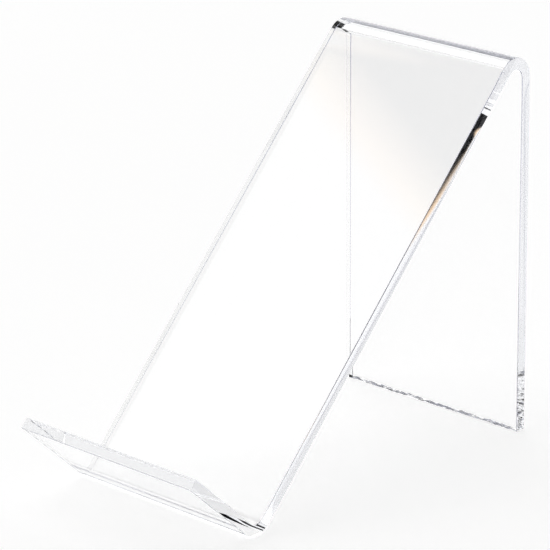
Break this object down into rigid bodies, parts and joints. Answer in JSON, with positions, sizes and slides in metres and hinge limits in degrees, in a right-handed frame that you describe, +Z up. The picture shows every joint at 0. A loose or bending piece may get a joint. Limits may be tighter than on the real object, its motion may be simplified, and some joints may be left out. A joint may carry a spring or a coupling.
{
  "type": "plate display stand",
  "caption": "Easel stand bent from clear acrylic sheet: a turned-up front lip holds a plate against a sloping face, and a straight leg props it from behind.",
  "frame": {"origin": "centre of the footprint, on the surface that the stand rests on", "axes": "+Z up, +X across the strip's width, -Y towards the viewer of the plate"},
  "size_m": [0.1, 0.2028, 0.1687],
  "materials": {
    "clear_acrylic": "clear, polished faces and edges"
  },
  "bodies": {
    "root": {"bent_sheet": "clear_acrylic"}
  },
  "joints": []
}
